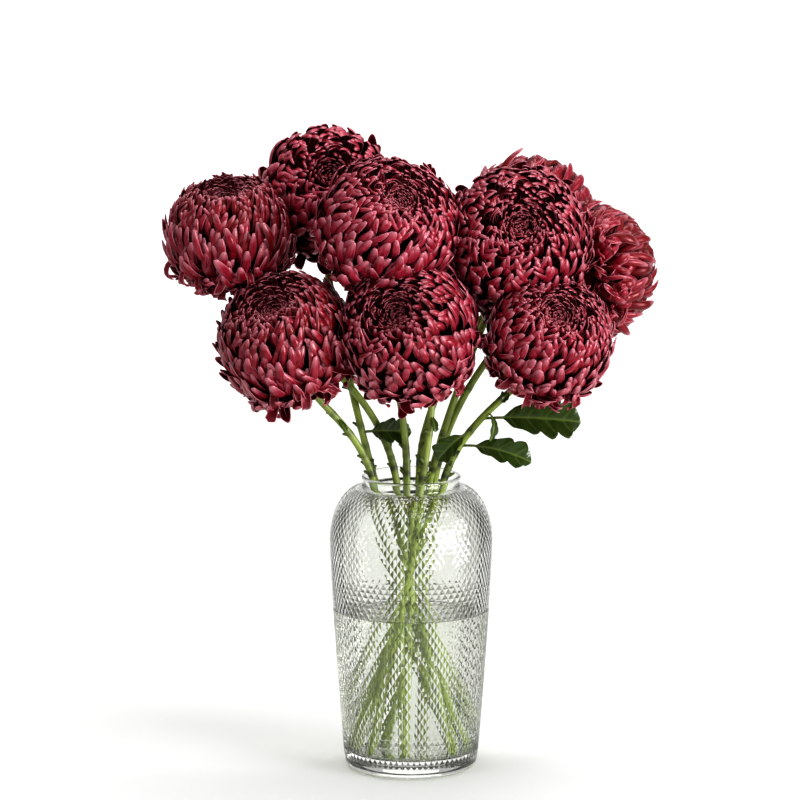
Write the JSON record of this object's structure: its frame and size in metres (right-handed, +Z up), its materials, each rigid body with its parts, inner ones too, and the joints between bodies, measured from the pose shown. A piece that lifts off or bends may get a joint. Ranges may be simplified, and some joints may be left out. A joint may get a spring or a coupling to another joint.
{
  "type": "chrysanthemums in a jar",
  "caption": "Cut crimson chrysanthemums with large incurved blooms, standing in water in a clear diamond-relief glass jar.",
  "frame": {"origin": "centre of the jar's flat underside, on the surface that it stands on", "axes": "+Z up along the jar's axis, +X to the right and +Y away from someone who looks at the front of the bouquet"},
  "size_m": [0.4566, 0.2965, 0.6002],
  "materials": {
    "glass": "polished",
    "water": "polished",
    "stalk": "satin",
    "petal": "satin"
  },
  "bodies": {
    "root": {"glass_jar": "glass", "water": "water", "stem_left": "stalk", "bloom_left": "petal", "stem_top_left": "stalk", "bloom_top_left": "petal", "stem_top_middle": "stalk", "bloom_top_middle": "petal", "stem_low_left": "stalk", "bloom_low_left": "petal", "stem_low_middle": "stalk", "bloom_low_middle": "petal", "stem_top_right": "stalk", "bloom_top_right": "petal", "stem_far_right": "stalk", "bloom_far_right": "petal", "stem_low_right": "stalk", "bloom_low_right": "petal", "stem_back": "stalk", "bloom_back": "petal"}
  },
  "joints": []
}
